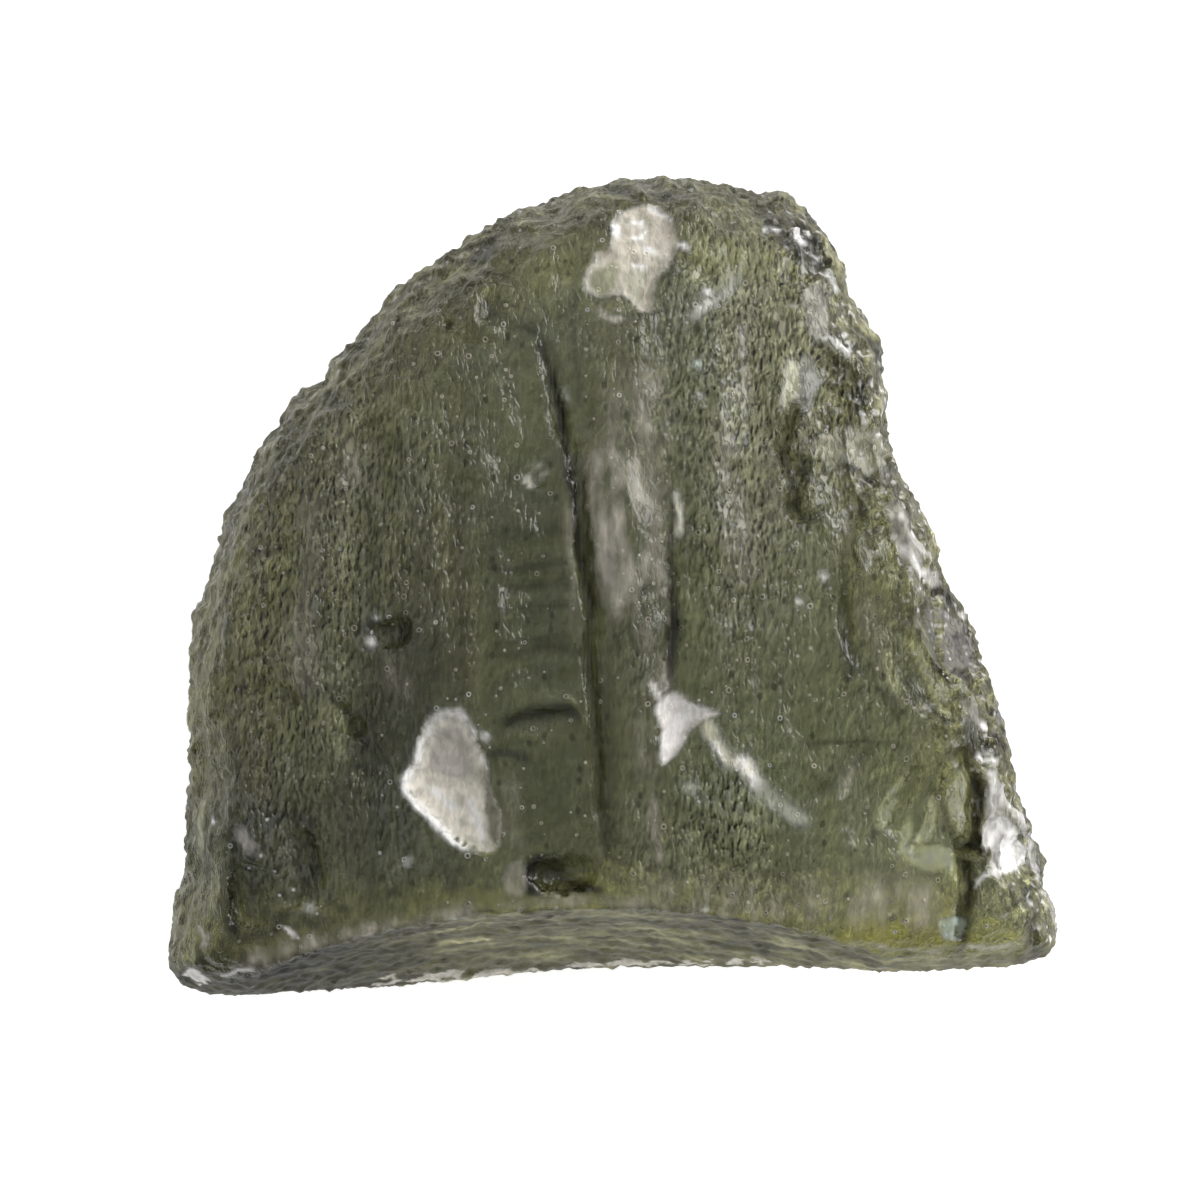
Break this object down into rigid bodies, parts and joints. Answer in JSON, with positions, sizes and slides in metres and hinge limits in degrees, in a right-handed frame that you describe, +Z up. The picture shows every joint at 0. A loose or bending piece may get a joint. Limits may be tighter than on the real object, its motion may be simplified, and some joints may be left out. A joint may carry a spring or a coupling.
{
  "type": "rough moldavite",
  "caption": "Rough fragment of olive-green natural glass with an etched, furrowed face and one hollowed broken end.",
  "frame": {"origin": "centre of the stone's box, on the surface that it rests on", "axes": "+Z up through the sculpted face, +Y toward the rounded end, +X toward the broken side with the pointed corner"},
  "size_m": [0.012, 0.011, 0.005],
  "materials": {
    "moldavite_glass": "translucent olive-green natural glass with an etched, half matt skin"
  },
  "bodies": {
    "root": {"moldavite": "moldavite_glass"}
  },
  "joints": []
}
